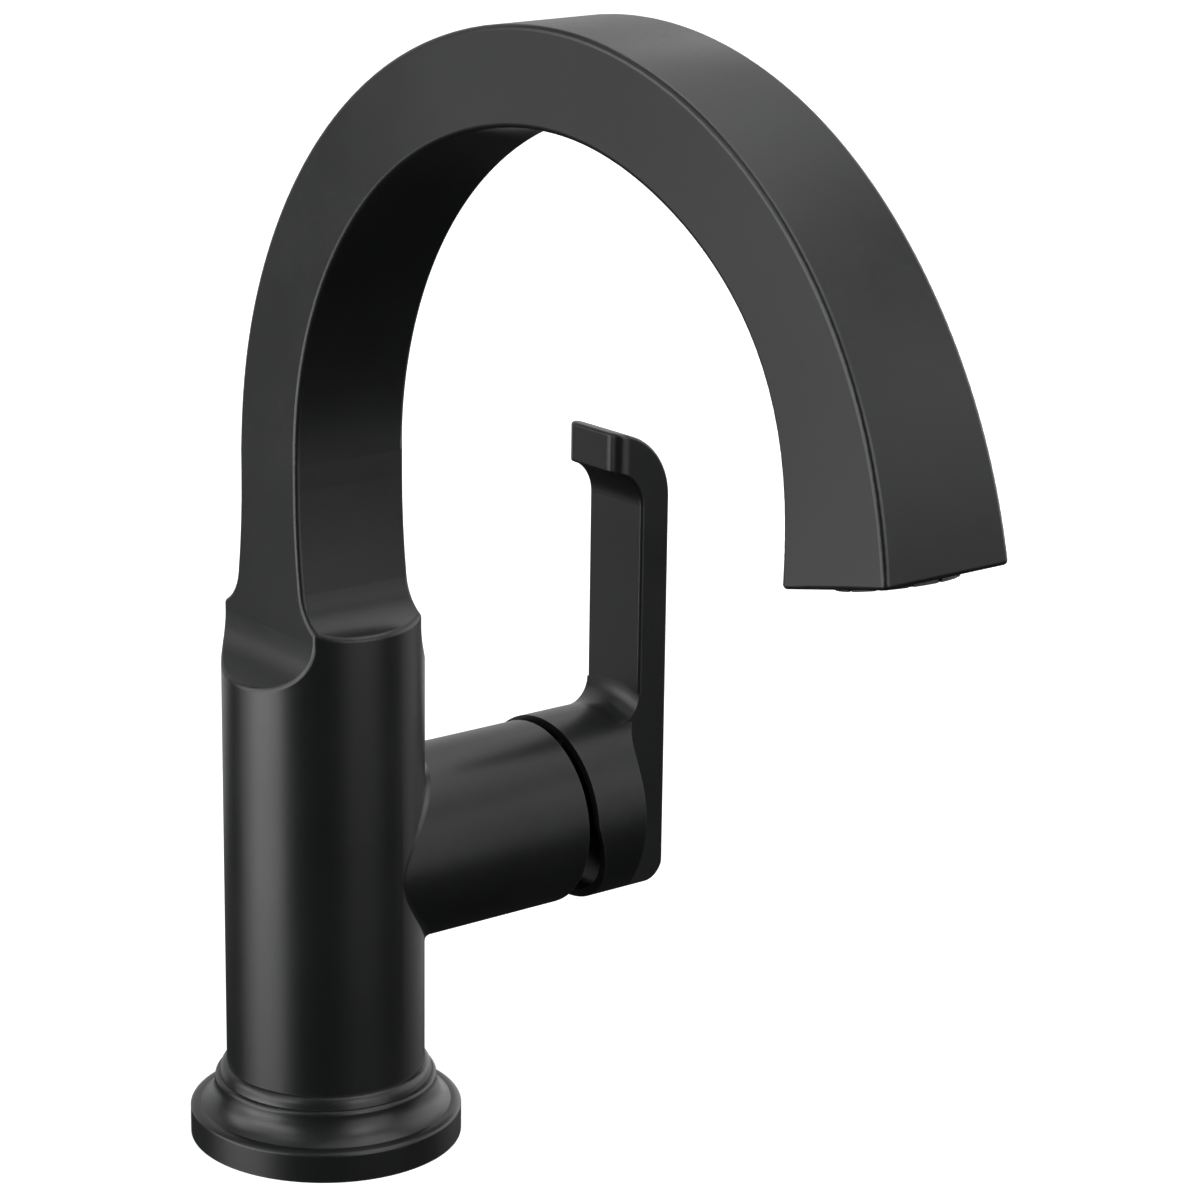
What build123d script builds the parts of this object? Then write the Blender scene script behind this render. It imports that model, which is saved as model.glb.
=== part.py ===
from build123d import *
from math import cos, radians, sin, tan
import os

# Single-hole lavatory faucet, in millimetres.
# The origin is on the body's axis at the deck's surface and +Z is up.
# The spout reaches towards -Y and the handle stands on the +X side.

# Body, with a small bead where it stands on the base ring
body_r = 20.5
body_bore_r = 16.0
bore_top = 86.0
foot_r = 22.0
foot_top = 15.45

# Neck, with the hollows that narrow the round body to it
neck_width = 26.06
neck_depth = 19.74
side_scallop_r = 11.2
side_scallop_z = 110.6
front_gentle_r = 143.7
front_gentle_angle = 8.2
front_tight_r = 9.1
front_scallop_z = 140.0
edge_round = 1.0

# Arch and outlet
arch_centre = (-84.0, 145.0)
waist_width = 23.7
flare = 4.2
end_tightening = 5.6
spout_wall = 2.4
arch_end = 178
cavity_end = 158
outlet_back = (-152.2, 153.5)
outlet_front = (-176.7, 158.9)
outlet_round = 0.8
outlet_shift = 0.3
outlet_bore_r = 10.4
outlet_bore_depth = 6.5
chamber_r = 8.0
chamber_depth = 26.0

# Hub and cartridge axis
hub_z = 58.34
hub_r = 19.67
hub_end = 53.5
hub_fillet = 1.8
hub_bore_r = 16.6
hub_bore_start = 6.0

# Base
base_r = 28.1
base_top = 13.0
wall_top = 5.6
rim_width = 2.2
rim_height = 0.95
shoulder_r = 22.95
shoulder_round = 0.85
base_hole_r = 16.3
gasket_thick = 0.6
body_low = base_top

# Cartridge, along the hub
seat_x = 11.0
pivot_x = 46.0
ball_x = 35.0
tilt_deg = 18
shell_r = 15.0
shell_bore_r = 13.2
shell_end = 52.0
shell_lip = 1.5
disc_r = 9.2
inlet_port = (4.6, 4.2)
inlet_port_r = 2.0
outlet_port = (0.0, -5.4)
outlet_port_r = 2.6
ring_thick = 1.2
peg_spot = (8.0, -8.0)
key_spot = (11.4, 0.0)
base_thick = 5.0
flange_thick = 3.0
fixed_thick = 3.5
disc_gap = 0.02
moving_thick = 3.48
carrier_foot = 3.0
carrier_block = (12.0, 12.4)
carrier_height = 11.0
socket_size = 7.1
pin_r = 1.5
pin_half = 12.2
collar_r = 9.2
collar_end = 54.0
lug_r = 11.0
lug_thick = 1.7
dome_r = 18.9
dome_wall = 1.8
nut_start = 44.0
nut_end = 54.2
ball_r = 3.2
shank_thin_r = 2.2
stem_r = 4.0
stem_square = 7.0
stem_end = 77.0

# Handle
rim_x = 55.6
handle_r = 20.35
hollow_r = 18.6
hollow_end = 66.0
lever_in = 75.06
lever_out = 82.5
lever_half = 8.76
bend_inner = (67.06, 123.35)
bend_outer = (67.5, 124.8)
tab_end = 68.1
tab_corner = 3.4
lever_round = 0.7
root_fillet = 5.2
grip_r = 16.07
grip_x = 84.42
relief_z = 60.0
barrel_round = 5.0
screw_x = 71.5
screw_r = 2.5
screw_low = 45.8
cap_r = 3.2
cap_low = 38.5
cap_top = 41.0

# Water tube and aerator
tube_r = 4.0
tube_bore_r = 2.75
tube_start = bore_top - 12
tube_end = 14.0
tube_bends = (83.5, 70.0)
adapter_neck_r = 6.0
adapter_neck = 3.5
seal_thick = 1.2
insert_r = 8.1
insert_start = 0.4
insert_depth = 4.0
screen_thick = 0.7
aerator_lip = 0.8
key_slots = 12

# Mounting below the deck
shank_r = 16.0
shank_bore_r = 13.0
shank_low = -55.0
shank_top = 28.0
deck_thickness = 20.0
washer_r = 24.0
rubber_thick = 3.0
steel_thick = 2.0
nut_flange_r = 23.0
nut_flange = 2.5
nut_r = 20.0
nut_height = 14.0
lobe_r = 3.5
lobes = 6
inlet_thread_r = 5.0
inlet_depth = 12.0
inlet_y = 6.4
inlet_x = -3.0
inlet_rise_r = 2.6

# Fits: what a loose, a close and a snug piece leave free on each side
loose = 0.2
close = 0.1
snug = 0.05

screw_axis = Plane(origin=(screw_x, 0, 0))
hub_axis = Plane(origin=(0, 0, hub_z), x_dir=(0, 1, 0), z_dir=(1, 0, 0))
outlet_run = Vector(0, outlet_back[0] - outlet_front[0], outlet_back[1] - outlet_front[1]).normalized()
outlet_mid = Vector(0, (outlet_back[0] + outlet_front[0]) / 2, (outlet_back[1] + outlet_front[1]) / 2)
outlet_mid -= outlet_run * outlet_shift
outlet_axis = Plane(origin=outlet_mid, x_dir=(1, 0, 0), z_dir=Vector(1, 0, 0).cross(outlet_run))


def tube(plane, low, high, outer, inner=0):
    # A round bar, or a tube, between two heights above a plane.
    section = Circle(outer)
    if inner:
        section -= Circle(inner)
    return plane * Pos(0, 0, low) * extrude(section, high - low)


def stud(spot, low, high, radius):
    # A round bar beside the hub's axis and parallel to it.
    return hub_axis * Pos(*spot, low) * extrude(Circle(radius), high - low)


def blend(value, start, end):
    # Goes from 0 to 1 between two values, with a soft start and end.
    part = min(1, max(0, (value - start) / (end - start)))
    return part * part * (3 - 2 * part)


def spout_width(angle):
    # Widest at the neck, a slim waist past the top, then a flare to the outlet.
    waist = (neck_width - waist_width) * blend(angle, 50, 100)
    end = max(0, (angle - 130) / 43)
    return neck_width - waist + flare * end * end


def spout_radii(angle):
    # Outer and inner radius of the arch, a little flattened, and deeper near the outlet.
    turn = radians(angle)
    outer = neck_depth / 2 - arch_centre[0] - 0.75 * sin(turn) - 0.35 * sin(2 * turn)
    inner = -neck_depth / 2 - arch_centre[0] + 0.83 * sin(turn) - end_tightening * blend(angle, 135, 177)
    return outer, inner


def spout_section(angle, inset):
    outer, inner = spout_radii(angle)
    middle = (outer + inner) / 2
    turn = radians(angle)
    centre = (0, arch_centre[0] + middle * cos(turn), arch_centre[1] + middle * sin(turn))
    plane = Plane(origin=centre, x_dir=(1, 0, 0), z_dir=(0, -sin(turn), cos(turn)))
    return plane * Rectangle(spout_width(angle) - 2 * inset, outer - inner - 2 * inset)


def arch(end, inset, steps):
    return loft([spout_section(end * step / steps, inset) for step in range(steps + 1)])


def side_scallop():
    # A quarter of a circle from the body's side up to the neck's flat side.
    edge = neck_width / 2
    low = side_scallop_z - side_scallop_r
    outline = Line((edge, arch_centre[1] + 2), (edge, side_scallop_z))
    outline += CenterArc((edge + side_scallop_r, side_scallop_z), side_scallop_r, 180, 90)
    outline += Polyline(
        (edge + side_scallop_r, low),
        (2 * body_r, low),
        (2 * body_r, arch_centre[1] + 2),
        (edge, arch_centre[1] + 2),
    )
    return make_face(outline)


def front_scallop():
    # A long, gentle curve down the neck that ends in a tight one.
    edge = neck_depth / 2
    turn = radians(front_gentle_angle)
    join = Vector(edge + front_gentle_r * (1 - cos(turn)), front_scallop_z - front_gentle_r * sin(turn))
    middle = join + Vector(front_tight_r * cos(turn), front_tight_r * sin(turn))
    low = middle - Vector(0, front_tight_r)
    outline = Line((edge, arch_centre[1] + 2), (edge, front_scallop_z))
    outline += CenterArc((edge + front_gentle_r, front_scallop_z), front_gentle_r, 180, front_gentle_angle)
    outline += CenterArc(middle, front_tight_r, 180 + front_gentle_angle, 90 - front_gentle_angle)
    outline += Polyline(
        low,
        (2 * body_r, low.Y),
        (2 * body_r, arch_centre[1] + 2),
        (edge, arch_centre[1] + 2),
    )
    return make_face(outline)


def body_blank():
    # The round body, hollowed on four sides to the square neck, with every edge of that rounded.
    blank = tube(Plane.XY, body_low, arch_centre[1], body_r)
    sides = extrude(Plane.XZ * side_scallop(), 2 * body_r, both=True)
    fronts = extrude(Plane.YZ * front_scallop(), 2 * body_r, both=True)
    blank = blank - sides - mirror(sides, Plane.YZ) - fronts - mirror(fronts, Plane.XZ)
    low = side_scallop_z - side_scallop_r
    edges = [edge for edge in blank.edges() if low < edge.bounding_box().min.Z < arch_centre[1] - 1]
    return fillet(edges, edge_round)


def foot():
    # A quarter-round bead where the body stands on the base ring.
    outline = Polyline((0, body_low), (foot_r, body_low))
    outline += EllipticalCenterArc(
        (body_r, body_low), foot_r - body_r, foot_top - body_low, start_angle=0, arc_size=90
    )
    outline += Polyline((body_r, foot_top), (0, foot_top), (0, body_low))
    return revolve(make_face(Plane.XZ * outline), Axis.Z)


def spout_outside():
    trunk = body_blank() + tube(hub_axis, 0, hub_end, hub_r)
    seam = [edge for edge in trunk.edges() if 1 < edge.center().X < body_r + 1]
    seam = [edge for edge in seam if abs(edge.center().Z - hub_z) < hub_r - 1]
    trunk = fillet(seam, hub_fillet)
    bow = arch(arch_end, 0, 12)
    bow = fillet(bow.edges().sort_by(SortBy.LENGTH)[-4:], edge_round)
    outside = trunk + bow + foot()
    outside -= outlet_axis * Pos(0, 0, -60) * Box(80, 80, 120)
    mouth = outside.faces().sort_by(lambda face: (face.center() - outlet_mid).length)[0]
    return fillet(mouth.edges(), outlet_round)


def spout_body():
    inside = arch(cavity_end, spout_wall, 10)
    low = bore_top + 21
    neck = Rectangle(neck_width - 2 * spout_wall, neck_depth - 2 * spout_wall)
    inside += Pos(0, 0, low) * extrude(neck, arch_centre[1] - low)
    inside += tube(Plane.XY, body_low - 1, bore_top, body_bore_r)
    inside += tube(Plane.XY, bore_top - 1, low + 1, tube_r + 2.5)
    inside += tube(hub_axis, hub_bore_start, hub_end + 1, hub_bore_r)
    inside += tube(outlet_axis, -1, outlet_bore_depth, outlet_bore_r)
    inside += tube(outlet_axis, 0, chamber_depth, chamber_r)
    return spout_outside() - inside


def base_ring():
    # Upright wall, beaded rim, cove and shoulder, hollow from below.
    crease = (base_r - rim_width, wall_top + rim_height)
    shoulder_low = base_top - shoulder_round
    outline = Polyline(
        (base_hole_r, gasket_thick),
        (base_r - 3, gasket_thick),
        (base_r - 3, 0),
        (base_r, 0),
        (base_r, wall_top),
    )
    outline += EllipticalCenterArc((crease[0], wall_top), rim_width, rim_height, start_angle=0, arc_size=90)
    outline += ThreePointArc(crease, (shoulder_r + 0.9, crease[1] + 2.05), (shoulder_r, shoulder_low))
    outline += CenterArc((shoulder_r - shoulder_round, shoulder_low), shoulder_round, 0, 90)
    outline += Polyline(
        (shoulder_r - shoulder_round, base_top),
        (base_hole_r, base_top),
        (base_hole_r, gasket_thick),
    )
    ring = revolve(make_face(Plane.XZ * outline), Axis.Z)
    return ring - tube(Plane.XY, -1, wall_top - 1.6, base_r - 4, base_hole_r + 3)


def base_gasket():
    return tube(Plane.XY, 0, gasket_thick, base_r - 3 - close, base_hole_r)


def mounting_shank():
    shank = tube(Plane.XY, shank_low, shank_top, shank_r, shank_bore_r)
    return chamfer(shank.edges().filter_by(GeomType.CIRCLE).group_by(Axis.Z)[0], 0.8)


def deck_washer():
    return tube(Plane.XY, -deck_thickness - rubber_thick, -deck_thickness, washer_r, shank_r + loose)


def clamp_washer():
    top = -deck_thickness - rubber_thick
    return tube(Plane.XY, top - steel_thick, top, washer_r, shank_r + loose)


def mounting_nut():
    # A flanged nut with finger lobes.
    top = -deck_thickness - rubber_thick - steel_thick
    nut = tube(Plane.XY, top - nut_flange, top, nut_flange_r)
    grip = Circle(nut_r)
    for place in PolarLocations(nut_r, lobes):
        grip += place * Circle(lobe_r)
    nut += Pos(0, 0, top - nut_height) * extrude(grip, nut_height - 2)
    return nut - tube(Plane.XY, top - nut_height - 1, top + 1, shank_r + snug)


def valve_manifold():
    # Moulded block that takes both supplies to the cartridge and its mixed water up the spout.
    block = tube(Plane.XY, shank_top, bore_top, body_bore_r - close)
    block -= Pos(seat_x + 10, 0, hub_z) * Box(20, 60, 2 * shell_r + 1)
    for side in (1, -1):
        mouth = Plane(origin=(inlet_x, side * inlet_y, 0))
        block -= tube(mouth, shank_top - 1, shank_top + inlet_depth, inlet_thread_r)
        rise = Plane(origin=(inlet_x, side * (inlet_y - 1), 0))
        block -= tube(rise, shank_top, hub_z + inlet_port[1], inlet_rise_r)
        block -= stud((side * inlet_port[0], inlet_port[1]), inlet_x, seat_x + 9, inlet_port_r)
        block -= stud((side * peg_spot[0], peg_spot[1]), seat_x - 2.4, seat_x + 2, 1.3)
    block -= stud(outlet_port, 0, seat_x + 9, outlet_port_r)
    block -= tube(Plane.XY, hub_z + outlet_port[1], bore_top, tube_bore_r)
    block -= tube(Plane.XY, bore_top - 3, bore_top - 1.5, tube_r + 1.5)
    return block - tube(Plane.XY, tube_start, bore_top + 1, tube_r + snug)


def tube_seal():
    # O-ring in the manifold's mouth, round the spout tube.
    return tube(Plane.XY, bore_top - 3, bore_top - 1.5, tube_r + 1.5, tube_r + snug)


def spout_tube():
    # Inner water tube: straight up the neck, round the arch and down to the adapter.
    start = Vector(0, 0, tube_start)
    crown = arch_centre[1] + tube_bends[0]
    up = outlet_axis.z_dir
    corner = outlet_mid + up * ((crown - outlet_mid.Z) / up.Z)
    end = outlet_mid + up * tube_end
    path = FilletPolyline(start, Vector(0, 0, crown), corner, end, radius=list(tube_bends))
    wall = Plane(origin=start) * (Circle(tube_r) - Circle(tube_bore_r))
    return sweep(wall, path)


def outlet_adapter():
    # Flares the tube's bore out to the aerator and stands on the aerator's seal.
    wall = chamber_r - close
    top = tube_end + adapter_neck
    outline = Polyline(
        (wall - 1, outlet_bore_depth),
        (wall, outlet_bore_depth),
        (wall, tube_end),
        (adapter_neck_r, tube_end),
        (adapter_neck_r, top),
        (tube_r + snug, top),
        (tube_r + snug, tube_end),
        (tube_bore_r, tube_end),
        close=True,
    )
    return outlet_axis * revolve(make_face(Plane.XZ * outline), Axis.Z)


def aerator_seal():
    low = outlet_bore_depth - seal_thick
    return tube(outlet_axis, low, outlet_bore_depth, outlet_bore_r - loose, chamber_r - 1)


def aerator_housing():
    # Threaded ring that shows as a thin lip below the outlet, with key slots round its edge.
    wall = outlet_bore_r - close
    ring = tube(outlet_axis, -aerator_lip, outlet_bore_depth - seal_thick, wall, insert_r + close)
    ring += tube(outlet_axis, -aerator_lip, insert_start, wall, insert_r - 0.6)
    for place in PolarLocations(wall - 0.3, key_slots):
        ring -= outlet_axis * Pos(0, 0, -1) * extrude(place * Rectangle(1, 0.9), 0.9)
    return ring


def square_grid(radius, pitch, opening, depth):
    # A disc with a square grid of openings inside a plain rim.
    disc = Circle(radius)
    count = 2 * int(radius / pitch) + 1
    for place in GridLocations(pitch, pitch, count, count):
        spot = place.position
        if Vector(abs(spot.X) + opening / 2, abs(spot.Y) + opening / 2).length < radius - 0.6:
            disc -= place * Rectangle(opening, opening)
    return extrude(disc, depth)


def aerator_insert():
    return outlet_axis * Pos(0, 0, insert_start) * square_grid(insert_r, 2.3, 1.8, insert_depth)


def aerator_screen():
    start = insert_start + insert_depth
    return outlet_axis * Pos(0, 0, start) * square_grid(insert_r, 1.5, 1.1, screen_thick)


def port_discs(low, high, grow):
    # Round plugs at the three ports, wider than each port by the given margin.
    ports = [
        (inlet_port, inlet_port_r),
        ((-inlet_port[0], inlet_port[1]), inlet_port_r),
        (outlet_port, outlet_port_r),
    ]
    return [stud(spot, low, high, radius + grow) for spot, radius in ports]


def port_rings(low):
    # O-rings round the three ports.
    outer = port_discs(low, low + ring_thick, 1.8)
    inner = port_discs(low, low + ring_thick, 0.4)
    return [ring - hole for ring, hole in zip(outer, inner)]


def port_seals():
    # Three rubber rings between the manifold and the cartridge.
    return port_rings(seat_x)


def disc_seals():
    # Three rubber rings that press the fixed disc up against the moving one.
    return port_rings(seat_x + base_thick - ring_thick)


def cartridge_base():
    top = seat_x + base_thick
    base = tube(hub_axis, seat_x, seat_x + flange_thick, shell_r)
    base += tube(hub_axis, seat_x + flange_thick, top, shell_bore_r - snug)
    for side in (1, -1):
        base += stud((side * peg_spot[0], peg_spot[1]), seat_x - 2, seat_x, 1.2)
        base += stud((side * key_spot[0], key_spot[1]), top, top + 2, 1.1)
    holes = port_discs(seat_x, top, 0)
    grooves = port_discs(seat_x, seat_x + ring_thick, 1.85) + port_discs(top - ring_thick, top, 1.85)
    for hollow in holes + grooves:
        base -= hollow
    return base


def fixed_disc():
    low = seat_x + base_thick
    disc = tube(hub_axis, low, low + fixed_thick, shell_bore_r - 0.3)
    for hole in port_discs(low - 1, low + fixed_thick + 1, 0):
        disc -= hole
    for side in (1, -1):
        disc -= stud((side * key_spot[0], key_spot[1]), low - 1, low + fixed_thick + 1, 1.15)
    return disc


def moving_disc():
    # Lapped ceramic disc: its pocket joins the ports as it slides and turns.
    low = seat_x + base_thick + fixed_thick + disc_gap
    disc = tube(hub_axis, low, low + moving_thick, disc_r)
    return disc - stud((0, -2.6), low - 1, low + 1.88, 5.6)


def disc_carrier():
    # Guided block on the moving disc, with a socket for the stem's ball.
    low = seat_x + base_thick + fixed_thick + disc_gap + moving_thick
    carrier = tube(hub_axis, low, low + carrier_foot, disc_r)
    carrier += hub_axis * Pos(0, 0, low + carrier_foot) * extrude(Rectangle(*carrier_block), carrier_height)
    socket = Rectangle(socket_size + close, socket_size)
    return carrier - hub_axis * Pos(0, 0, ball_x - 4) * extrude(socket, 8)


def cartridge_shell():
    shell = tube(hub_axis, seat_x + flange_thick, shell_end, shell_r, shell_bore_r)
    return shell + tube(hub_axis, shell_end - shell_lip, shell_end, shell_r, collar_r + 0.4)


def rotor():
    # Turns with the handle and guides the carrier, with a stop lug on its collar.
    body = tube(hub_axis, seat_x + 15.3, shell_end - 1.8, shell_bore_r - 0.3)
    body += tube(hub_axis, shell_end - 2, collar_end, collar_r)
    lug = Circle(lug_r) - Circle(collar_r - 0.2)
    lug &= Pos(0, 15) * Rectangle(4.6, 30)
    body += hub_axis * Pos(0, 0, collar_end - lug_thick) * extrude(lug, lug_thick)
    guide = Rectangle(carrier_block[0] + 0.6, carrier_block[1] + 4)
    body -= hub_axis * Pos(0, 1.7, seat_x + 15) * extrude(guide, 14)
    body -= hub_axis * Pos(0, -0.8, 30) * extrude(Rectangle(2 * stem_r + 0.6, 13.2), 26)
    return body - pivot_bore(pin_r)


def pivot_bore(radius):
    # The pivot's line, across the hub's axis.
    line = Plane(origin=(pivot_x, -pin_half, hub_z), z_dir=(0, 1, 0))
    return line * extrude(Circle(radius), 2 * pin_half)


def pivot_pin():
    return pivot_bore(pin_r)


def limit_ring():
    # Fixed ring whose window stops the rotor's lug a little past each end of the turn.
    ring = Circle(12.0) - Circle(collar_r + 0.5)
    window = Circle(lug_r + 0.3)
    window &= make_face(Polyline((0, 0), (30, -14), (30, 40), (-30, 40), (-30, -14), close=True))
    return hub_axis * Pos(0, 0, shell_end) * extrude(ring - window, 2)


def bonnet_nut():
    nut = tube(hub_axis, nut_start, nut_end, hub_bore_r - snug, shell_r + close)
    return nut + tube(hub_axis, shell_end, nut_end, hub_bore_r - snug, 12.2)


def bonnet_dome():
    # Ball-shaped cover, centred on the pivot so that the handle swings round it.
    ball = Pos(0, 0, pivot_x) * (Sphere(dome_r) - Sphere(dome_r - dome_wall))
    ball &= Pos(0, 0, nut_end) * Cylinder(30, 20, align=(Align.CENTER, Align.CENTER, Align.MIN))
    return hub_axis * (ball - Pos(0, 0, 60) * Cylinder(10.4, 30))


def stem():
    # Ball, lower shank, pivot barrel and the square end that the handle sits on.
    shaft = tube(hub_axis, ball_x + 1, pivot_x - 3, shank_thin_r)
    shaft += hub_axis * Pos(0, 0, ball_x) * Sphere(ball_r)
    shaft += tube(hub_axis, pivot_x - 4.5, hollow_end, stem_r)
    square = Rectangle(stem_square, stem_square)
    shaft += hub_axis * Pos(0, 0, hollow_end) * extrude(square, stem_end - hollow_end)
    return shaft - pivot_bore(pin_r + snug)


def lever_profile():
    # Side view of the lever: a plate that bends over into the finger tab.
    under = lever_in - bend_inner[0]
    over = lever_out - bend_outer[0]
    outline = Polyline((lever_in, hub_z), (lever_in, bend_inner[1]))
    outline += CenterArc(bend_inner, under, 0, 90)
    outline += Line((bend_inner[0], bend_inner[1] + under), (bend_outer[0], bend_outer[1] + over))
    outline += CenterArc(bend_outer, over, 0, 90)
    outline += Polyline((lever_out, bend_outer[1]), (lever_out, hub_z), (lever_in, hub_z))
    return make_face(outline) - Pos(tab_end - 10, bend_outer[1]) * Rectangle(20, 60)


def lever_plate():
    # The lever, with its tab's corners rounded in plan and then every edge softened.
    plate = extrude(Plane.XZ * lever_profile(), lever_half, both=True)
    plate = fillet(plate.edges().filter_by(Axis.Z).group_by(Axis.X)[0], tab_corner)
    return fillet(plate.edges().filter_by(Axis.Z).sort_by(SortBy.LENGTH)[-4:], lever_round)


def handle_barrel():
    # Turned hub with a rounded outer edge, hollow towards the dome.
    outline = Polyline((hollow_end, 0), (hollow_end, hollow_r), (rim_x, hollow_r), (rim_x, handle_r))
    outline += Line((rim_x, handle_r), (lever_out - barrel_round, handle_r))
    outline += CenterArc((lever_out - barrel_round, handle_r - barrel_round), barrel_round, 0, 90)
    outline += Polyline((lever_out, handle_r - barrel_round), (lever_out, 0), (hollow_end, 0))
    return Pos(0, 0, hub_z) * revolve(make_face(Plane.XZ * outline), Axis.X)


def grip_plan():
    # The handle seen from above: two hollows pinch the hub down to the lever's width.
    plan = Pos((rim_x + lever_out) / 2, 0) * Rectangle(lever_out - rim_x, 2 * handle_r + 2)
    for hand in (1, -1):
        plan -= Pos(grip_x, hand * handle_r) * Circle(grip_r) - Rectangle(4 * grip_x, 2 * lever_half)
    tips = plan.vertices().group_by(Axis.X)[-1]
    return fillet(tips, lever_round)


def lever_root():
    # A hollow curve that runs from the hub up into the lever.
    start = lever_in - root_fillet
    top = handle_r + root_fillet
    outline = Polyline(
        (start, handle_r),
        (start, handle_r - 1),
        (lever_in + 1, handle_r - 1),
        (lever_in + 1, top),
        (lever_in, top),
    )
    outline += CenterArc((start, top), root_fillet, 270, 90)
    ring = Pos(0, 0, hub_z) * revolve(make_face(Plane.XZ * outline), Axis.X)
    return ring & Pos(lever_in, 0, hub_z + handle_r) * Box(20, 2 * lever_half, 20)


def rim_relief():
    # Slanted cut that gives the rim's lower half room to swing in.
    drop = 24
    slant = drop * tan(radians(tilt_deg - 0.5))
    outline = Polyline(
        (rim_x - 2, relief_z),
        (rim_x, relief_z),
        (rim_x + slant, relief_z - drop),
        (rim_x - 2, relief_z - drop),
        close=True,
    )
    return extrude(Plane.XZ * make_face(outline), 30, both=True)


def lever_handle():
    barrel = handle_barrel() & extrude(grip_plan(), hub_z + 2 * handle_r)
    handle = barrel + lever_plate() + lever_root() - rim_relief()
    square = Rectangle(stem_square + close, stem_square + close)
    handle -= hub_axis * Pos(0, 0, hollow_end - 1) * extrude(square, stem_end - hollow_end + 1 + close)
    handle -= tube(screw_axis, 30, hub_z, screw_r)
    return handle - tube(screw_axis, 30, cap_top, cap_r)


def set_screw():
    screw = tube(screw_axis, screw_low, hub_z - stem_square / 2, screw_r - snug)
    return screw - screw_axis * Pos(0, 0, screw_low) * extrude(RegularPolygon(1.45, 6), 3)


def set_screw_cap():
    return tube(screw_axis, cap_low, cap_top, cap_r - snug)


pieces = {
    "spout_body": spout_body,
    "base_ring": base_ring,
    "base_gasket": base_gasket,
    "mounting_shank": mounting_shank,
    "deck_washer": deck_washer,
    "clamp_washer": clamp_washer,
    "mounting_nut": mounting_nut,
    "valve_manifold": valve_manifold,
    "tube_seal": tube_seal,
    "spout_tube": spout_tube,
    "outlet_adapter": outlet_adapter,
    "aerator_seal": aerator_seal,
    "aerator_housing": aerator_housing,
    "aerator_insert": aerator_insert,
    "aerator_screen": aerator_screen,
    "port_seals": port_seals,
    "cartridge_base": cartridge_base,
    "disc_seals": disc_seals,
    "fixed_disc": fixed_disc,
    "moving_disc": moving_disc,
    "disc_carrier": disc_carrier,
    "cartridge_shell": cartridge_shell,
    "rotor": rotor,
    "pivot_pin": pivot_pin,
    "limit_ring": limit_ring,
    "bonnet_nut": bonnet_nut,
    "bonnet_dome": bonnet_dome,
    "stem": stem,
    "lever_handle": lever_handle,
    "set_screw": set_screw,
    "set_screw_cap": set_screw_cap,
}

if __name__ == "__main__":
    os.makedirs("parts", exist_ok=True)
    for name, make in pieces.items():
        shape = make()
        if isinstance(shape, list):
            shape = Compound(shape)
        export_step(shape, f"parts/{name}.step")
        print(name)
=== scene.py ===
import math
import bpy
from mathutils import Matrix, Vector


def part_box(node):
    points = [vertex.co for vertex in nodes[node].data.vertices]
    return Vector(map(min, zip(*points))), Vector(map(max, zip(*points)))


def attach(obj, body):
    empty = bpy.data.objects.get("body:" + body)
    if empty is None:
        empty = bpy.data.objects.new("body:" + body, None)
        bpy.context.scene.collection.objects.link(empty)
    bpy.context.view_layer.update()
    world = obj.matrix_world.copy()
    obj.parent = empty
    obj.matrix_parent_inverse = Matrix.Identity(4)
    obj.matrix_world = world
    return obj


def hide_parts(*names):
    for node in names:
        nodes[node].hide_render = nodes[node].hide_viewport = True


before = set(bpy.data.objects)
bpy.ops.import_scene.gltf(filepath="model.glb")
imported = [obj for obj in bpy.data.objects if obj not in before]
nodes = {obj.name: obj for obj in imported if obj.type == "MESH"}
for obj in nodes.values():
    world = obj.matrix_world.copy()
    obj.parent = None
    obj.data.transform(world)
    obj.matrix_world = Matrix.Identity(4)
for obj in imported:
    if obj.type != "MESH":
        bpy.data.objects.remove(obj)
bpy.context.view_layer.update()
mm = 0.001


# Shader helpers

def sock(tree, source, target):
    tree.links.new(source, target)


def newGroup(name, inputs, outputs):
    # an empty node group: an input has a label, a kind and a default, an output no default
    group = bpy.data.node_groups.new(name, "ShaderNodeTree")
    for label, kind, value in inputs:
        item = group.interface.new_socket(label, in_out="INPUT", socket_type=kind)
        if value is not None:
            item.default_value = value
    for label, kind in outputs:
        group.interface.new_socket(label, in_out="OUTPUT", socket_type=kind)
    group.nodes.new("NodeGroupInput")
    group.nodes.new("NodeGroupOutput")
    return group


def math2(tree, kind, a, b=None, clamp=False):
    node = tree.nodes.new("ShaderNodeMath")
    node.operation = kind
    node.use_clamp = clamp
    for spot, value in ((0, a), (1, b)):
        if value is None:
            continue
        if isinstance(value, (int, float)):
            node.inputs[spot].default_value = value
        else:
            sock(tree, value, node.inputs[spot])
    return node.outputs[0]


def noise(tree, vector, scale, detail=2.0, rough=0.5):
    node = tree.nodes.new("ShaderNodeTexNoise")
    node.inputs["Detail"].default_value = detail
    node.inputs["Roughness"].default_value = rough
    sock(tree, vector, node.inputs["Vector"])
    if isinstance(scale, (int, float)):
        node.inputs["Scale"].default_value = scale
    else:
        sock(tree, scale, node.inputs["Scale"])
    return node.outputs["Fac"]


def ramp(tree, value, low, high, first=0.0, last=1.0):
    node = tree.nodes.new("ShaderNodeMapRange")
    node.inputs["From Min"].default_value = low
    node.inputs["From Max"].default_value = high
    node.inputs["To Min"].default_value = first
    node.inputs["To Max"].default_value = last
    sock(tree, value, node.inputs["Value"])
    return node.outputs["Result"]


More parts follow.
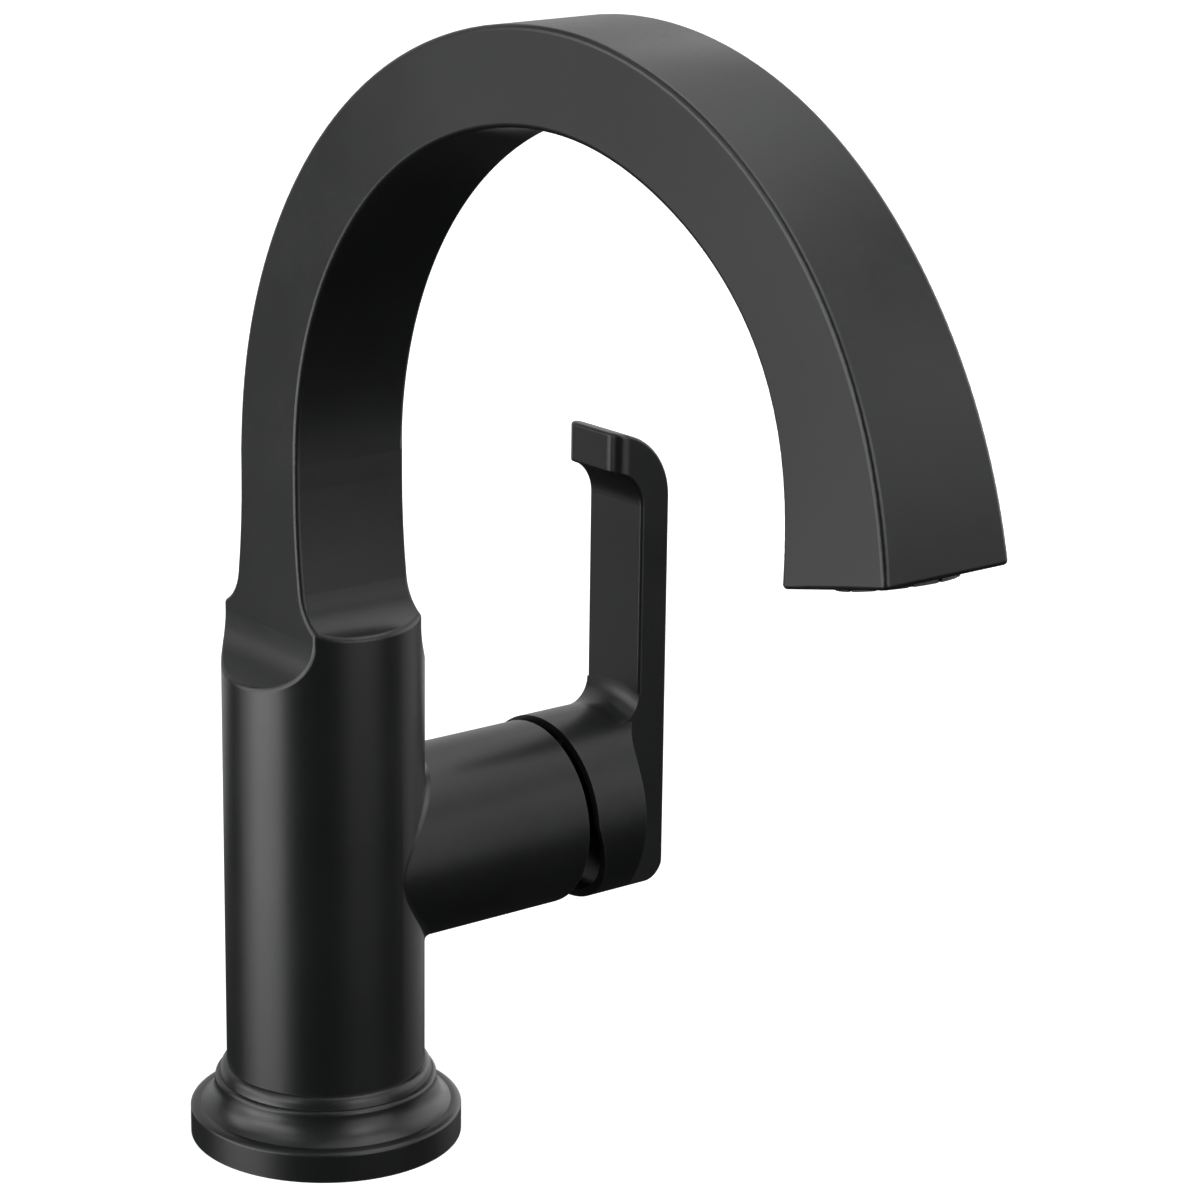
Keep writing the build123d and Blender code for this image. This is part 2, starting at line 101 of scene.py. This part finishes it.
grainLook = {
    # detail and roughness of each noise
    "fine": (3.0, 0.6),
    "cloud": (3.0, 0.55),
    "speck": (1.0, 0.4),
    # the stretch of the noise that goes from none to full
    "cloudRange": (0.3, 0.7),
    "speckRange": (0.62, 0.72),
    "speckScale": 0.45,  # as a part of the grain's own scale
}


def buildGrain():
    # powder grain: a fine height, a slow cloud for gloss and colour, and scattered specks
    group = newGroup(
        "fineGrain",
        [("Scale", "NodeSocketFloat", 2600.0), ("Cloud Scale", "NodeSocketFloat", 45.0)],
        [("Height", "NodeSocketFloat"), ("Cloud", "NodeSocketFloat"), ("Speck", "NodeSocketFloat")],
    )
    given = group.nodes["Group Input"].outputs
    where = group.nodes.new("ShaderNodeTexCoord").outputs["Object"]
    fine = noise(group, where, given["Scale"], *grainLook["fine"])
    cloud = noise(group, where, given["Cloud Scale"], *grainLook["cloud"])
    coarser = math2(group, "MULTIPLY", given["Scale"], grainLook["speckScale"])
    speck = noise(group, where, coarser, *grainLook["speck"])
    out = group.nodes["Group Output"].inputs
    sock(group, fine, out["Height"])
    sock(group, ramp(group, cloud, *grainLook["cloudRange"]), out["Cloud"])
    sock(group, ramp(group, speck, *grainLook["speckRange"]), out["Speck"])
    return group


edgeLook = {
    "samples": 6,
    "sharp": (1.0, 0.86),  # how the rounded and the true normal agree, on a flat face and on an edge
    "patchScale": 160.0,
    "patchDetail": 2.0,
    "patchRange": (0.35, 0.65),
}


def buildEdges():
    # 1 on outside edges and corners, 0 on open faces, broken up by a noise; the finishes use it for
    # edges lightened as wear and as a painted highlight of their roundings
    group = newGroup(
        "edgeWearAndSheen",
        [("Radius", "NodeSocketFloat", 0.0009), ("Break", "NodeSocketFloat", 0.5)],
        [("Edge", "NodeSocketFloat")],
    )
    given = group.nodes["Group Input"].outputs
    bevel = group.nodes.new("ShaderNodeBevel")
    bevel.samples = edgeLook["samples"]
    sock(group, given["Radius"], bevel.inputs["Radius"])
    geometry = group.nodes.new("ShaderNodeNewGeometry")
    dot = group.nodes.new("ShaderNodeVectorMath")
    dot.operation = "DOT_PRODUCT"
    sock(group, bevel.outputs["Normal"], dot.inputs[0])
    sock(group, geometry.outputs["Normal"], dot.inputs[1])
    sharp = ramp(group, dot.outputs["Value"], *edgeLook["sharp"])
    where = group.nodes.new("ShaderNodeTexCoord").outputs["Object"]
    blotch = noise(group, where, edgeLook["patchScale"], edgeLook["patchDetail"])
    patch = ramp(group, blotch, *edgeLook["patchRange"])
    kept = math2(group, "MULTIPLY", math2(group, "SUBTRACT", 1.0, patch), given["Break"])
    full = math2(group, "SUBTRACT", 1.0, kept)
    edge = math2(group, "MULTIPLY", sharp, full, clamp=True)
    sock(group, edge, group.nodes["Group Output"].inputs["Edge"])
    return group


turningLook = {
    "wobbleScale": 90.0,
    "wobbleDetail": 2.0,
    "shadeRange": (0.3, 0.7),  # the stretch of the wobble that goes from low to high roughness
}


def buildTurning():
    # fine rings left by a lathe, round the axis that the vector's z gives
    group = newGroup(
        "turningMarks",
        [("Vector", "NodeSocketVector", None), ("Pitch", "NodeSocketFloat", 3200.0)],
        [("Height", "NodeSocketFloat"), ("Shade", "NodeSocketFloat")],
    )
    given = group.nodes["Group Input"].outputs
    split = group.nodes.new("ShaderNodeSeparateXYZ")
    sock(group, given["Vector"], split.inputs[0])
    wobble = noise(group, given["Vector"], turningLook["wobbleScale"], turningLook["wobbleDetail"])
    along = math2(group, "ADD", math2(group, "MULTIPLY", split.outputs["Z"], given["Pitch"]), wobble)
    wave = math2(group, "SINE", math2(group, "MULTIPLY", along, math.tau))
    sock(group, ramp(group, wave, -1.0, 1.0), group.nodes["Group Output"].inputs["Height"])
    sock(group, wobble, group.nodes["Group Output"].inputs["Shade"])
    return group


grainGroup = buildGrain()
edgeGroup = buildEdges()
turningGroup = buildTurning()


def place(tree, group, **values):
    node = tree.nodes.new("ShaderNodeGroup")
    node.node_tree = group
    for label, value in values.items():
        node.inputs[label.replace("_", " ")].default_value = value
    return node


def mixColour(tree, factor, first, second):
    node = tree.nodes.new("ShaderNodeMix")
    node.data_type = "RGBA"
    sock(tree, factor, node.inputs["Factor"])
    for label, colour in (("A", first), ("B", second)):
        slot = [s for s in node.inputs if s.name == label and s.type == "RGBA"][0]
        if isinstance(colour, (tuple, list)):
            slot.default_value = (*colour, 1)
        else:
            sock(tree, colour, slot)
    return [s for s in node.outputs if s.type == "RGBA"][0]


def bump(tree, height, strength, distance):
    node = tree.nodes.new("ShaderNodeBump")
    node.inputs["Strength"].default_value = strength
    node.inputs["Distance"].default_value = distance
    sock(tree, height, node.inputs["Height"])
    return node.outputs["Normal"]


def newMaterial(name):
    material = bpy.data.materials.new(name)
    material.use_nodes = True
    tree = material.node_tree
    return material, tree, tree.nodes["Principled BSDF"]


def coated(name, finish):
    # a painted, coated or moulded surface with grain, clouds, and edges lighter as wear and as a painted
    # highlight of their roundings
    material, tree, shader = newMaterial(name)
    grain = place(tree, grainGroup, Scale=finish["grainScale"], Cloud_Scale=finish["cloudScale"])
    edge = place(tree, edgeGroup, Radius=finish["edgeRadius"], Break=finish["edgeBreak"])
    base = mixColour(tree, grain.outputs["Cloud"], finish["colour"], finish["cloudColour"])
    # edges lighter: partly wear, partly a painted highlight standing in for the light on their roundings
    wornAndSheen = mixColour(tree, edge.outputs["Edge"], base, finish["edgeColour"])
    sock(tree, wornAndSheen, shader.inputs["Base Color"])
    low, high = finish["rough"]
    soft = ramp(tree, grain.outputs["Cloud"], 0.0, 1.0, low, high)
    rubbed = math2(tree, "MULTIPLY", edge.outputs["Edge"], finish["edgeGloss"])
    specked = math2(tree, "MULTIPLY", grain.outputs["Speck"], finish["speck"])
    total = math2(tree, "ADD", math2(tree, "SUBTRACT", soft, rubbed), specked, clamp=True)
    sock(tree, total, shader.inputs["Roughness"])
    normal = bump(tree, grain.outputs["Height"], finish["bump"], finish["bumpDepth"])
    sock(tree, normal, shader.inputs["Normal"])
    for label, value in finish["plain"].items():
        shader.inputs[label].default_value = value
    return material


def turned(name, finish):
    # bare metal with lathe rings
    material, tree, shader = newMaterial(name)
    where = tree.nodes.new("ShaderNodeMapping")
    where.inputs["Rotation"].default_value = finish["turn"]
    coords = tree.nodes.new("ShaderNodeTexCoord")
    sock(tree, coords.outputs["Object"], where.inputs["Vector"])
    marks = place(tree, turningGroup, Pitch=finish["pitch"])
    sock(tree, where.outputs["Vector"], marks.inputs["Vector"])
    grain = place(tree, grainGroup, Scale=finish["grainScale"], Cloud_Scale=finish["cloudScale"])
    edge = place(tree, edgeGroup, Radius=finish["edgeRadius"], Break=finish["edgeBreak"])
    base = mixColour(tree, grain.outputs["Cloud"], finish["colour"], finish["cloudColour"])
    # edges lighter: wear and a painted highlight of their roundings
    bright = mixColour(tree, edge.outputs["Edge"], base, finish["edgeColour"])
    sock(tree, bright, shader.inputs["Base Color"])
    soft = ramp(tree, marks.outputs["Shade"], *turningLook["shadeRange"], *finish["rough"])
    sock(tree, soft, shader.inputs["Roughness"])
    normal = bump(tree, marks.outputs["Height"], finish["bump"], finish["bumpDepth"])
    sock(tree, normal, shader.inputs["Normal"])
    shader.inputs["Metallic"].default_value = 1.0
    return material


# Finishes, one dictionary each

satinBlack = {
    "colour": (0.0072, 0.0077, 0.0081),
    "cloudColour": (0.0094, 0.0099, 0.0104),
    # on the edges: wear and a painted highlight of the rounded edges
    "edgeColour": (0.021, 0.022, 0.023),
    "rough": (0.30, 0.34),
    "grainScale": 2800.0,
    "cloudScale": 40.0,
    "edgeRadius": 0.0009,
    "edgeBreak": 0.35,
    "edgeGloss": 0.04,
    "speck": 0.05,
    "bump": 0.12,
    "bumpDepth": 0.00006,
    "plain": {"Specular IOR Level": 0.5},
}
shadeBlack = dict(
    satinBlack,
    rough=(0.58, 0.66),
    bump=0.2,
    plain={"Specular IOR Level": 0.2},
)
blackMoulded = dict(
    satinBlack,
    colour=(0.018, 0.018, 0.019),
    cloudColour=(0.024, 0.024, 0.025),
    edgeColour=(0.034, 0.034, 0.036),
    rough=(0.48, 0.56),
    grainScale=1500.0,
    bump=0.25,
)
nutMoulded = dict(
    blackMoulded,
    colour=(0.045, 0.045, 0.048),
    cloudColour=(0.060, 0.060, 0.063),
    edgeColour=(0.11, 0.11, 0.11),
    grainScale=900.0,
    bump=0.45,
)
whiteMoulded = dict(
    satinBlack,
    colour=(0.72, 0.70, 0.65),
    cloudColour=(0.78, 0.77, 0.72),
    edgeColour=(0.84, 0.83, 0.79),
    rough=(0.42, 0.52),
    grainScale=1200.0,
    bump=0.15,
)
greyMoulded = dict(
    whiteMoulded,
    colour=(0.26, 0.27, 0.28),
    cloudColour=(0.31, 0.32, 0.33),
    edgeColour=(0.40, 0.41, 0.42),
)
redMoulded = dict(
    whiteMoulded,
    colour=(0.50, 0.07, 0.045),
    cloudColour=(0.58, 0.10, 0.065),
    edgeColour=(0.66, 0.18, 0.13),
)
clearTube = dict(
    whiteMoulded,
    colour=(0.66, 0.70, 0.71),
    cloudColour=(0.74, 0.77, 0.78),
    edgeColour=(0.82, 0.84, 0.85),
    rough=(0.22, 0.30),
    grainScale=600.0,
    bump=0.08,
    plain={"Transmission Weight": 0.25, "IOR": 1.45},
)
ceramic = dict(
    whiteMoulded,
    colour=(0.80, 0.79, 0.74),
    cloudColour=(0.86, 0.85, 0.81),
    edgeColour=(0.90, 0.89, 0.86),
    rough=(0.16, 0.24),
    grainScale=3000.0,
    bump=0.05,
)
sealRubber = dict(
    satinBlack,
    colour=(0.016, 0.016, 0.016),
    cloudColour=(0.028, 0.028, 0.028),
    edgeColour=(0.050, 0.050, 0.050),
    rough=(0.62, 0.74),
    grainScale=1100.0,
    bump=0.35,
)
zincSteel = {
    "colour": (0.50, 0.51, 0.50),
    "cloudColour": (0.60, 0.60, 0.57),
    "edgeColour": (0.74, 0.74, 0.72),
    "rough": (0.28, 0.40),
    "turn": (0.0, 0.0, 0.0),
    "pitch": 2600.0,
    "grainScale": 1500.0,
    "cloudScale": 60.0,
    "edgeRadius": 0.0006,
    "edgeBreak": 0.3,
    "bump": 0.15,
    "bumpDepth": 0.00004,
}
machinedBrass = dict(
    zincSteel,
    colour=(0.66, 0.47, 0.20),
    cloudColour=(0.74, 0.55, 0.26),
    edgeColour=(0.86, 0.68, 0.38),
    rough=(0.24, 0.36),
)
crossBrass = dict(machinedBrass, turn=(0.0, math.radians(-90), 0.0))
crossSteel = dict(zincSteel, turn=(math.radians(90), 0.0, 0.0))

# how each material is made, from which finish, and the nodes that wear it
wornBy = {
    "satinBlack": (coated, satinBlack, ["spout_body", "base_ring", "lever_handle"]),
    "shadeBlack": (coated, shadeBlack, ["bonnet_dome"]),
    "blackMoulded": (coated, blackMoulded, ["aerator_housing", "set_screw_cap"]),
    "nutMoulded": (coated, nutMoulded, ["mounting_nut"]),
    "whiteMoulded": (coated, whiteMoulded, [
        "valve_manifold", "outlet_adapter", "cartridge_base", "disc_carrier", "cartridge_shell", "rotor",
    ]),
    "greyMoulded": (coated, greyMoulded, ["aerator_insert"]),
    "redMoulded": (coated, redMoulded, ["limit_ring"]),
    "clearTube": (coated, clearTube, ["spout_tube"]),
    "ceramic": (coated, ceramic, ["fixed_disc", "moving_disc"]),
    "sealRubber": (coated, sealRubber, [
        "base_gasket", "deck_washer", "tube_seal", "aerator_seal", "port_seals", "disc_seals",
    ]),
    "zincSteel": (turned, zincSteel, ["clamp_washer", "set_screw", "aerator_screen"]),
    "machinedBrass": (turned, machinedBrass, ["mounting_shank"]),
    "crossBrass": (turned, crossBrass, ["bonnet_nut", "stem"]),
    "crossSteel": (turned, crossSteel, ["pivot_pin"]),
}
print("materials")
materials = {}
for name, (make, finish, members) in wornBy.items():
    materials[name] = make(name, finish)
    for member in members:
        mesh = nodes[member].data
        mesh.materials.clear()
        mesh.materials.append(materials[name])


# The threaded shank, which the CAD draws with plain walls

shankThread = {
    "outside": 16.0 * mm,  # radius
    "bore": 13.0 * mm,  # radius
    "pitch": 2.0 * mm,
    "depth": 0.9 * mm,
    "crest": 0.35 * mm,  # length of the tooth's flat top
    "flank": 0.52 * mm,  # length that each of its slopes takes
    "leadIn": 1.1 * mm,  # chamfer at the open end
    "steps": 60,  # to a turn
    "extraTurns": 2,  # wound past each end
    "spare": 0.7,  # of a pitch, left past each end until the outer rod trims it
    "sides": 96,  # of the two rods that cut it
    "margin": 0.4 * mm,  # how far the outer rod stands off the thread
    "reach": 5.0 * mm,  # how far the bore's rod passes each end
    "weld": 0.01 * mm,  # points of the winding closer than this are one
    "repair": 0.002 * mm,  # the same once it has been cut
    "holeSides": 8,  # the most sides of a hole that is closed
    "smooth": math.radians(30),
}


def cutWith(piece, tool, kind):
    change = piece.modifiers.new("cut", "BOOLEAN")
    change.operation = kind
    change.solver = "EXACT"
    change.object = tool
    bpy.context.view_layer.objects.active = piece
    bpy.ops.object.modifier_apply(modifier="cut")
    bpy.data.objects.remove(tool)


def addRod(radius, low, high, sides):
    bpy.ops.object.select_all(action="DESELECT")
    bpy.ops.mesh.primitive_cylinder_add(
        vertices=sides, radius=radius, depth=high - low, location=(0, 0, (low + high) / 2)
    )
    bpy.ops.object.transform_apply(location=True, rotation=True, scale=True)
    return bpy.context.object


def makeShank():
    low, high = (corner[2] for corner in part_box("mounting_shank"))
    s = shankThread
    start = low - s["extraTurns"] * s["pitch"]
    turns = math.ceil((high - start) / s["pitch"]) + s["extraTurns"]
    # one tooth, drawn by extruding a single point
    bpy.ops.object.select_all(action="DESELECT")
    bpy.ops.mesh.primitive_plane_add(size=mm, location=(s["outside"] - s["depth"], 0, start))
    bpy.ops.object.transform_apply(location=True, rotation=True, scale=True)
    piece = bpy.context.object
    piece.name = "threadedShank"
    bpy.ops.object.mode_set(mode="EDIT")
    bpy.ops.mesh.select_all(action="SELECT")
    bpy.ops.mesh.merge(type="CENTER")
    root = s["pitch"] - s["crest"] - 2 * s["flank"]
    for across, up in ((0, root), (s["depth"], s["flank"]), (0, s["crest"]), (-s["depth"], s["flank"])):
        bpy.ops.mesh.extrude_region_move(TRANSFORM_OT_translate={"value": (across, 0, up)})
    bpy.ops.object.mode_set(mode="OBJECT")
    # wound up the axis and welded
    coil = piece.modifiers.new("coil", "SCREW")
    coil.axis = "Z"
    coil.screw_offset = s["pitch"]
    coil.iterations = turns
    coil.steps = s["steps"]
    coil.render_steps = s["steps"]
    bpy.ops.object.modifier_apply(modifier="coil")
    bpy.ops.object.mode_set(mode="EDIT")
    bpy.ops.mesh.select_all(action="SELECT")
    bpy.ops.mesh.remove_doubles(threshold=s["weld"])
    # both ragged ends cut square and filled
    spare = s["spare"] * s["pitch"]
    bpy.ops.mesh.select_all(action="SELECT")
    bpy.ops.mesh.bisect(
        plane_co=(0, 0, low - spare), plane_no=(0, 0, 1), use_fill=True, clear_inner=True
    )
    bpy.ops.mesh.select_all(action="SELECT")
    bpy.ops.mesh.bisect(
        plane_co=(0, 0, high + spare), plane_no=(0, 0, 1), use_fill=True, clear_outer=True
    )
    bpy.ops.mesh.select_all(action="SELECT")
    bpy.ops.mesh.normals_make_consistent(inside=False)
    bpy.ops.object.mode_set(mode="OBJECT")
    # the length and the chamfer come from a plain rod, and the bore from another
    blank = addRod(s["outside"] + s["margin"], low, high, s["sides"])
    bpy.ops.object.mode_set(mode="EDIT")
    bpy.ops.mesh.select_all(action="DESELECT")
    bpy.ops.object.mode_set(mode="OBJECT")
    for edge in blank.data.edges:
        ends = [blank.data.vertices[i].co.z for i in edge.vertices]
        edge.select = max(ends) < low + s["weld"]
    bpy.ops.object.mode_set(mode="EDIT")
    bpy.ops.mesh.select_mode(type="EDGE")
    bpy.ops.mesh.bevel(offset=s["leadIn"] + s["margin"], segments=1)
    bpy.ops.object.mode_set(mode="OBJECT")
    cutWith(piece, blank, "INTERSECT")
    core = addRod(s["bore"], low - s["reach"], high + s["reach"], s["sides"])
    cutWith(piece, core, "DIFFERENCE")
    # closes the pinhole that the cutters leave where the thread runs out on the chamfer
    bpy.ops.object.select_all(action="DESELECT")
    piece.select_set(True)
    bpy.context.view_layer.objects.active = piece
    bpy.ops.object.mode_set(mode="EDIT")
    bpy.ops.mesh.select_all(action="SELECT")
    bpy.ops.mesh.remove_doubles(threshold=s["repair"])
    bpy.ops.mesh.select_all(action="SELECT")
    bpy.ops.mesh.fill_holes(sides=s["holeSides"])
    bpy.ops.mesh.select_all(action="SELECT")
    bpy.ops.mesh.normals_make_consistent(inside=False)
    bpy.ops.object.mode_set(mode="OBJECT")
    bpy.ops.object.shade_smooth_by_angle(angle=s["smooth"])
    piece.data.materials.clear()
    piece.data.materials.append(materials["machinedBrass"])
    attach(piece, "housing")
    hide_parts("mounting_shank")
    print("threaded shank", len(piece.data.polygons), "faces")


makeShank()


# Camera, lamps and stage

camera = {
    "place": (-0.41100, -0.59660, 0.32270),
    "azimuth": -35.992,
    "elevation": 16.083,
    "focal": 3769.35,  # in pixels of the 1200-pixel frame
    "middle": (412.98, 600.46),
    "frame": 1200,
    "sensor": 36.0,
    "clip": (0.01, 20.0),
}


def makeCamera():
    data = bpy.data.cameras.new("viewCamera")
    data.sensor_width = camera["sensor"]
    data.lens = camera["focal"] * camera["sensor"] / camera["frame"]
    data.shift_x = (camera["frame"] / 2 - camera["middle"][0]) / camera["frame"]
    data.shift_y = (camera["middle"][1] - camera["frame"] / 2) / camera["frame"]
    data.clip_start, data.clip_end = camera["clip"]
    a = math.radians(camera["azimuth"])
    e = math.radians(camera["elevation"])
    back = Vector((math.sin(a) * math.cos(e), -math.cos(a) * math.cos(e), math.sin(e)))
    right = Vector((math.cos(a), math.sin(a), 0.0))
    up = back.cross(right)
    turn = Matrix((right, up, back)).transposed()
    item = bpy.data.objects.new("viewCamera", data)
    bpy.context.scene.collection.objects.link(item)
    item.matrix_world = Matrix.Translation(camera["place"]) @ turn.to_4x4()
    bpy.context.scene.camera = item


lamps = {
    "middle": (0.0, -0.07, 0.12),  # what every lamp faces
    "distance": 1.5,
    # turn to the right of the camera's side, height in degrees, width, height and brightness
    "soft": {
        "leftLow": (-68, -18, 1.08, 0.44, 3.50),
        "leftMiddle": (-66, 2, 0.95, 0.95, 2.38),
        "leftBroad": (-73, 23, 1.94, 0.86, 1.84),
        "leftHigh": (-89, 58, 1.40, 0.70, 0.77),
        "leftFront": (-52, 48, 0.60, 0.40, 1.36),
        "leftNear": (-42, 22, 0.35, 0.70, 1.50),
        "leftNearLow": (-42, -14, 0.35, 0.70, 0.36),
        "leftStrip": (-96, 1, 0.46, 1.48, 1.38),
        "backRight": (136, 6, 2.06, 1.84, 0.60),
        "topRight": (122, 67, 2.22, 0.80, 2.07),
        "rightBroad": (118, 17, 2.32, 1.30, 1.03),
        "rightFront": (46, 10, 1.28, 1.44, 1.59),
        "rightStrip": (39, 52, 0.54, 2.40, 1.66),
        "backLeft": (-164, 10, 2.40, 1.74, 0.64),
    },
}


def makeLamps():
    # large soft lamps all round the object, at one distance, that the camera doesn't see
    middle = Vector(lamps["middle"])
    for name, (turn, height, width, tall, bright) in lamps["soft"].items():
        a = math.radians(camera["azimuth"] - 90 + turn)  # azimuth 0 is the -Y side
        e = math.radians(height)
        away = Vector((math.cos(a) * math.cos(e), math.sin(a) * math.cos(e), math.sin(e)))
        data = bpy.data.lights.new(name, "AREA")
        data.shape = "RECTANGLE"
        data.size = width
        data.size_y = tall
        data.energy = bright * math.pi * width * tall
        item = bpy.data.objects.new(name, data)
        bpy.context.scene.collection.objects.link(item)
        item.location = middle + away * lamps["distance"]
        item.rotation_mode = "QUATERNION"
        item.rotation_quaternion = (-away).to_track_quat("-Z", "Y")
        item.visible_camera = False


worldGloss = 0.02  # what gloss finds between the lamps


def makeWorld():
    # white where the camera looks, and dim for the object's own gloss
    world = bpy.data.worlds.new("paleWorld")
    world.use_nodes = True
    bpy.context.scene.world = world
    tree = world.node_tree
    path = tree.nodes.new("ShaderNodeLightPath")
    gloss = math2(tree, "MULTIPLY", path.outputs["Is Glossy Ray"], worldGloss)
    seen = math2(tree, "MAXIMUM", path.outputs["Is Camera Ray"], path.outputs["Is Transmission Ray"])
    background = tree.nodes["Background"]
    background.inputs["Color"].default_value = (1, 1, 1, 1)
    sock(tree, math2(tree, "MAXIMUM", seen, gloss), background.inputs["Strength"])


floorLook = {
    "radius": 6.0,
    "sides": 96,
    "paint": (0.5, 0.5, 0.5, 1),
    "near": (0.25, 0.80),  # distance in metres, and glow there, lower than far off: a painted shade round the object's foot
    "far": (0.60, 1.0),
}


def makeFloor():
    # the deck's surface: pale, with the object's shadow, and clear from below and for the
    # object's own rays, so that lamps under the floor reach it and the floor throws none back
    bpy.ops.object.select_all(action="DESELECT")
    bpy.ops.mesh.primitive_circle_add(
        vertices=floorLook["sides"], radius=floorLook["radius"], fill_type="NGON", location=(0, 0, 0)
    )
    floor = bpy.context.object
    floor.name = "paleFloor"
    material = bpy.data.materials.new("paleFloor")
    material.use_nodes = True
    tree = material.node_tree
    tree.nodes.clear()
    diffuse = tree.nodes.new("ShaderNodeBsdfDiffuse")
    diffuse.inputs["Color"].default_value = floorLook["paint"]
    away = tree.nodes.new("ShaderNodeVectorMath")
    away.operation = "LENGTH"
    sock(tree, tree.nodes.new("ShaderNodeTexCoord").outputs["Object"], away.inputs[0])
    near, far = floorLook["near"], floorLook["far"]
    # the camera's glow, lowered near the object: painted shade round its foot, where its shadow falls
    level = ramp(tree, away.outputs["Value"], near[0], far[0], near[1], far[1])
    path = tree.nodes.new("ShaderNodeLightPath")
    glow = tree.nodes.new("ShaderNodeEmission")
    sock(tree, math2(tree, "MULTIPLY", path.outputs["Is Camera Ray"], level), glow.inputs["Strength"])
    both = tree.nodes.new("ShaderNodeAddShader")
    sock(tree, diffuse.outputs[0], both.inputs[0])
    sock(tree, glow.outputs[0], both.inputs[1])
    clear = tree.nodes.new("ShaderNodeBsdfTransparent")
    side = tree.nodes.new("ShaderNodeNewGeometry")
    unseen = side.outputs["Backfacing"]
    for kind in ("Is Glossy Ray", "Is Diffuse Ray", "Is Shadow Ray"):
        unseen = math2(tree, "MAXIMUM", unseen, path.outputs[kind])
    mixed = tree.nodes.new("ShaderNodeMixShader")
    sock(tree, unseen, mixed.inputs[0])
    sock(tree, both.outputs[0], mixed.inputs[1])
    sock(tree, clear.outputs[0], mixed.inputs[2])
    out = tree.nodes.new("ShaderNodeOutputMaterial")
    sock(tree, mixed.outputs[0], out.inputs["Surface"])
    floor.data.materials.append(material)


print("stage")
makeCamera()
makeWorld()
makeFloor()
makeLamps()
bpy.context.scene.view_settings.view_transform = "Standard"
